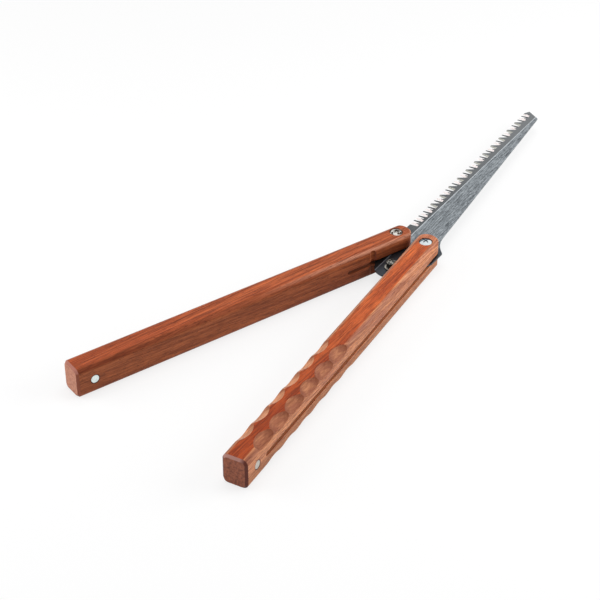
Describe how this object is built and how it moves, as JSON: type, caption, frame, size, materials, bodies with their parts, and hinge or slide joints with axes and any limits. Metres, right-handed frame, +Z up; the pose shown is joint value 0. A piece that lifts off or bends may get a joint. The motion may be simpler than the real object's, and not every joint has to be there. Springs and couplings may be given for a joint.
{
  "type": "folding pull saw",
  "caption": "Folding pull saw: a toothed steel blade on two wooden handles that turn on screw barrels, shut behind it as a grip or fold over it as a sheath.",
  "frame": {"origin": "middle of the footprint of the saw, on the surface that the handles lie on, with the handles posed as in the picture", "axes": "+X along the blade from the tang to the tip, +Y to the tooth side of the blade, +Z up from the table"},
  "size_m": [0.589, 0.1845, 0.0276],
  "materials": {
    "blade_steel": "fine-ground bright steel with darker ground strip along the teeth",
    "left_wood": "oiled red-brown hardwood, satin",
    "right_wood": "oiled orange-red hardwood, satin",
    "barrel_steel": "turned steel",
    "bright_screw": "bright plated",
    "washer_steel": "plain steel",
    "magnet_plate": "nickel plated",
    "stop_steel": "bright plated"
  },
  "bodies": {
    "blade": {"blade": "blade_steel", "stop_sleeve": "stop_steel", "stop_post": "stop_steel", "stop_screw": "stop_steel", "stop_upper_washer": "stop_steel", "stop_lower_washer": "stop_steel"},
    "left_handle": {"left_handle": "left_wood", "left_pivot_barrel": "barrel_steel", "left_pivot_screw": "bright_screw", "left_upper_washer": "washer_steel", "left_lower_washer": "washer_steel", "left_inner_magnet": "magnet_plate", "left_outer_magnet": "magnet_plate"},
    "right_handle": {"right_handle": "right_wood", "right_pivot_barrel": "barrel_steel", "right_pivot_screw": "bright_screw", "right_upper_washer": "washer_steel", "right_lower_washer": "washer_steel", "right_inner_magnet": "magnet_plate", "right_outer_magnet": "magnet_plate"}
  },
  "joints": [
    {"name": "left_handle_pivot", "type": "hinge", "parent": "blade", "child": "left_handle", "pos_m": [0.02181, -0.03444, 0], "axis": [0, 0, 1], "range_deg": [-158.1, 22.4]},
    {"name": "right_handle_pivot", "type": "hinge", "parent": "blade", "child": "right_handle", "pos_m": [0.02181, -0.06294, 0], "axis": [0, 0, 1], "range_deg": [-4.1, 177.9]}
  ]
}
